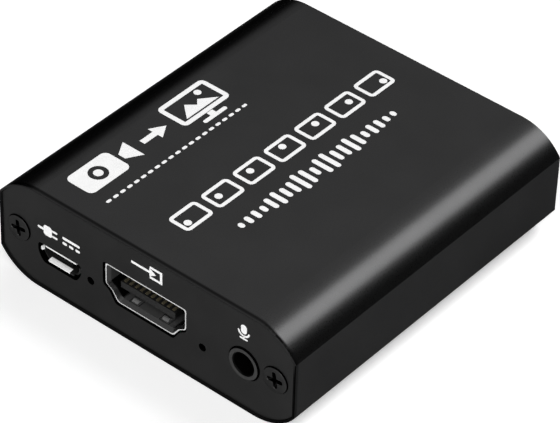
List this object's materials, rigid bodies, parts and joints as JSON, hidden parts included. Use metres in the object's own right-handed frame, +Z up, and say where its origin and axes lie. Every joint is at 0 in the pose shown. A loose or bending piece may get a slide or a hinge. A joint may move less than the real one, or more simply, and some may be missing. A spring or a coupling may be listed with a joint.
{
  "type": "video capture box",
  "caption": "Flat black metal box with rounded long edges that takes a picture signal in at the front and passes it on to a computer and a screen at the rear.",
  "frame": {"origin": "on the base, under the middle of the sleeve", "axes": "+X to the right seen from the front plate, +Y from the front plate to the rear plate, +Z up"},
  "size_m": [0.055, 0.0596, 0.0175],
  "materials": {
    "anodised_sleeve": "black anodised, satin",
    "end_plate": "black anodised, fine matt",
    "black_screw": "blackened steel",
    "board": "solder-masked glass laminate",
    "plated_shell": "nickel-plated sheet",
    "insulator": "moulded",
    "gold_contact": "gold flash",
    "jack_housing": "moulded",
    "spring_metal": "tinned spring strip",
    "indicator": "moulded, clear lens",
    "chip_epoxy": "moulded epoxy",
    "crystal_can": "drawn can",
    "capacitor_can": "drawn can",
    "ferrite": "sintered ferrite",
    "ceramic": "fired ceramic",
    "resistor": "glazed ceramic",
    "print_ink": "screen-printed marks"
  },
  "bodies": {
    "root": {"sleeve": "anodised_sleeve", "front_plate": "end_plate", "rear_plate": "end_plate", "front_screws": "black_screw", "rear_screws": "black_screw", "main_board": "board", "input_shell": "plated_shell", "output_shell": "plated_shell", "power_shell": "plated_shell", "data_shell": "plated_shell", "input_insulator": "insulator", "output_insulator": "insulator", "power_insulator": "insulator", "data_insulator": "insulator", "input_contacts": "gold_contact", "output_contacts": "gold_contact", "power_contacts": "gold_contact", "data_contacts": "gold_contact", "mic_jack": "jack_housing", "sound_jack": "jack_housing", "mic_jack_springs": "spring_metal", "sound_jack_springs": "spring_metal", "power_led": "indicator", "signal_led": "indicator", "splitter_chip": "chip_epoxy", "capture_chip": "chip_epoxy", "memory_chip": "chip_epoxy", "regulators": "chip_epoxy", "crystals": "crystal_can", "can_capacitors": "capacitor_can", "choke": "ferrite", "chip_capacitors": "ceramic", "chip_resistors": "resistor"}
  },
  "joints": []
}
